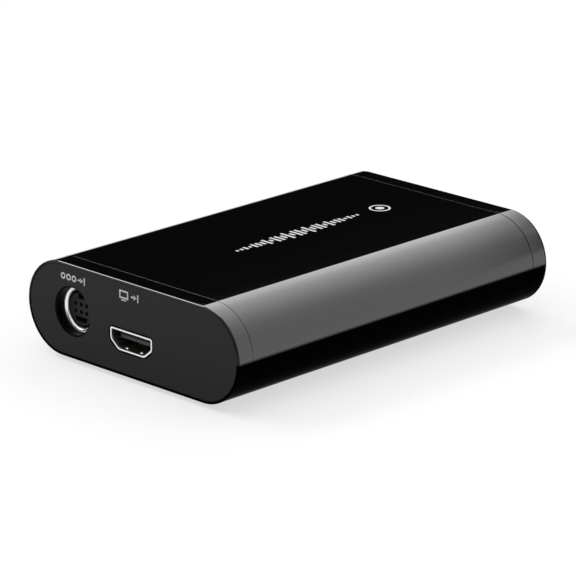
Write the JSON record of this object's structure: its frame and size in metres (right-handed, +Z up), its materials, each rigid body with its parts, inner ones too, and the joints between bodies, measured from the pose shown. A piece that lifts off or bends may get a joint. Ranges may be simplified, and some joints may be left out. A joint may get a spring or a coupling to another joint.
{
  "type": "video capture box",
  "caption": "Flat black video capture box with round sides, matte end plates with video, audio-video and data sockets, and a circuit board screwed inside a two-part shell.",
  "frame": {"origin": "centre of the plane that the four rubber feet stand on", "axes": "+X across the case to the right seen from the input end, +Y from the input end to the output end, +Z up"},
  "size_m": [0.075, 0.112, 0.0258],
  "materials": {
    "case_gloss": "polished black moulding",
    "port_plate": "fine spark-eroded charcoal texture",
    "foot_rubber": "matte rubber",
    "case_screw": "black oxide",
    "board_screw": "zinc plated",
    "board_laminate": "green solder mask over glass laminate",
    "socket_steel": "bright nickel plated sheet",
    "insulator_black": "black glass-filled moulding",
    "contact_gold": "gold plated",
    "chip_package": "black moulding compound",
    "pad_silicone": "soft filled silicone",
    "sink_aluminium": "plain extruded",
    "can_aluminium": "drawn can",
    "coil_ferrite": "pressed ferrite",
    "chip_ceramic": "fired ceramic with tinned ends"
  },
  "bodies": {
    "root": {"top_shell": "case_gloss", "bottom_shell": "case_gloss", "front_bezel": "case_gloss", "rear_bezel": "case_gloss", "front_port_plate": "port_plate", "rear_port_plate": "port_plate", "rubber_feet": "foot_rubber", "case_screws": "case_screw", "board_screws": "board_screw", "main_board": "board_laminate", "video_in_shell": "socket_steel", "video_in_insulator": "insulator_black", "video_in_contacts": "contact_gold", "video_out_shell": "socket_steel", "video_out_insulator": "insulator_black", "video_out_contacts": "contact_gold", "av_in_housing": "insulator_black", "av_in_shield": "socket_steel", "av_in_core": "insulator_black", "av_in_contacts": "contact_gold", "data_shell": "socket_steel", "data_insulator": "insulator_black", "data_contacts": "contact_gold", "encoder_chip": "chip_package", "thermal_pad": "pad_silicone", "heat_sink": "sink_aluminium", "memory_chips": "chip_package", "video_receiver_chip": "chip_package", "video_transmitter_chip": "chip_package", "analog_decoder_chip": "chip_package", "flash_chip": "chip_package", "electrolytic_capacitors": "can_aluminium", "crystals": "can_aluminium", "power_inductors": "coil_ferrite", "chip_capacitors": "chip_ceramic", "chip_resistors": "chip_ceramic"}
  },
  "joints": []
}
